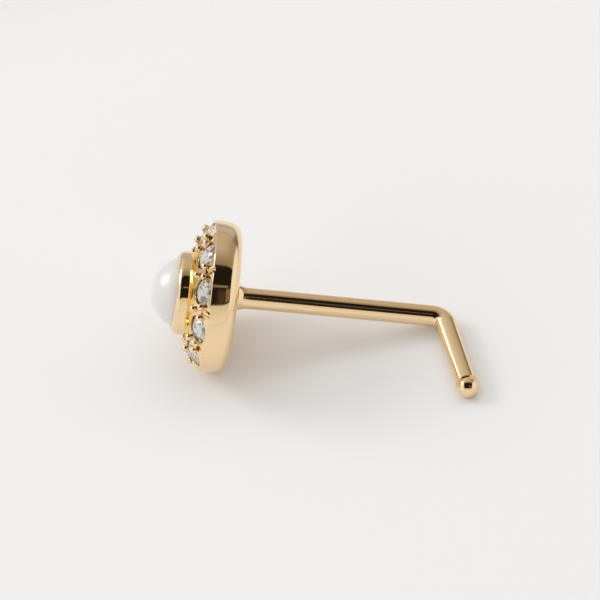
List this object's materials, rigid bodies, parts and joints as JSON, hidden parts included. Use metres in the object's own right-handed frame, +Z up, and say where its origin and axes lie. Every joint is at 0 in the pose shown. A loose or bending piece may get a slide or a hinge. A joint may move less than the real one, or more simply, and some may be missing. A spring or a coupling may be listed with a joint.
{
  "type": "nose pin",
  "caption": "L-shaped nose stud: a bezel-set pearl in a round halo of small brilliants, on a straight post whose bent leg ends in a ball.",
  "frame": {"origin": "on the table that the stud rests on, below the middle of its bounding box", "axes": "+Z up; +X along the post as seen from above, from the head towards the bend; the leg lies on the table and points towards -Y"},
  "size_m": [0.012, 0.007, 0.0056],
  "materials": {
    "gold_plate": "polished",
    "pearl": "pearl lustre",
    "clear_stone": "cut and polished"
  },
  "bodies": {
    "root": {"gold_setting": "gold_plate", "pearl": "pearl", "stone_01": "clear_stone", "stone_02": "clear_stone", "stone_03": "clear_stone", "stone_04": "clear_stone", "stone_05": "clear_stone", "stone_06": "clear_stone", "stone_07": "clear_stone", "stone_08": "clear_stone", "stone_09": "clear_stone", "stone_10": "clear_stone"}
  },
  "joints": []
}
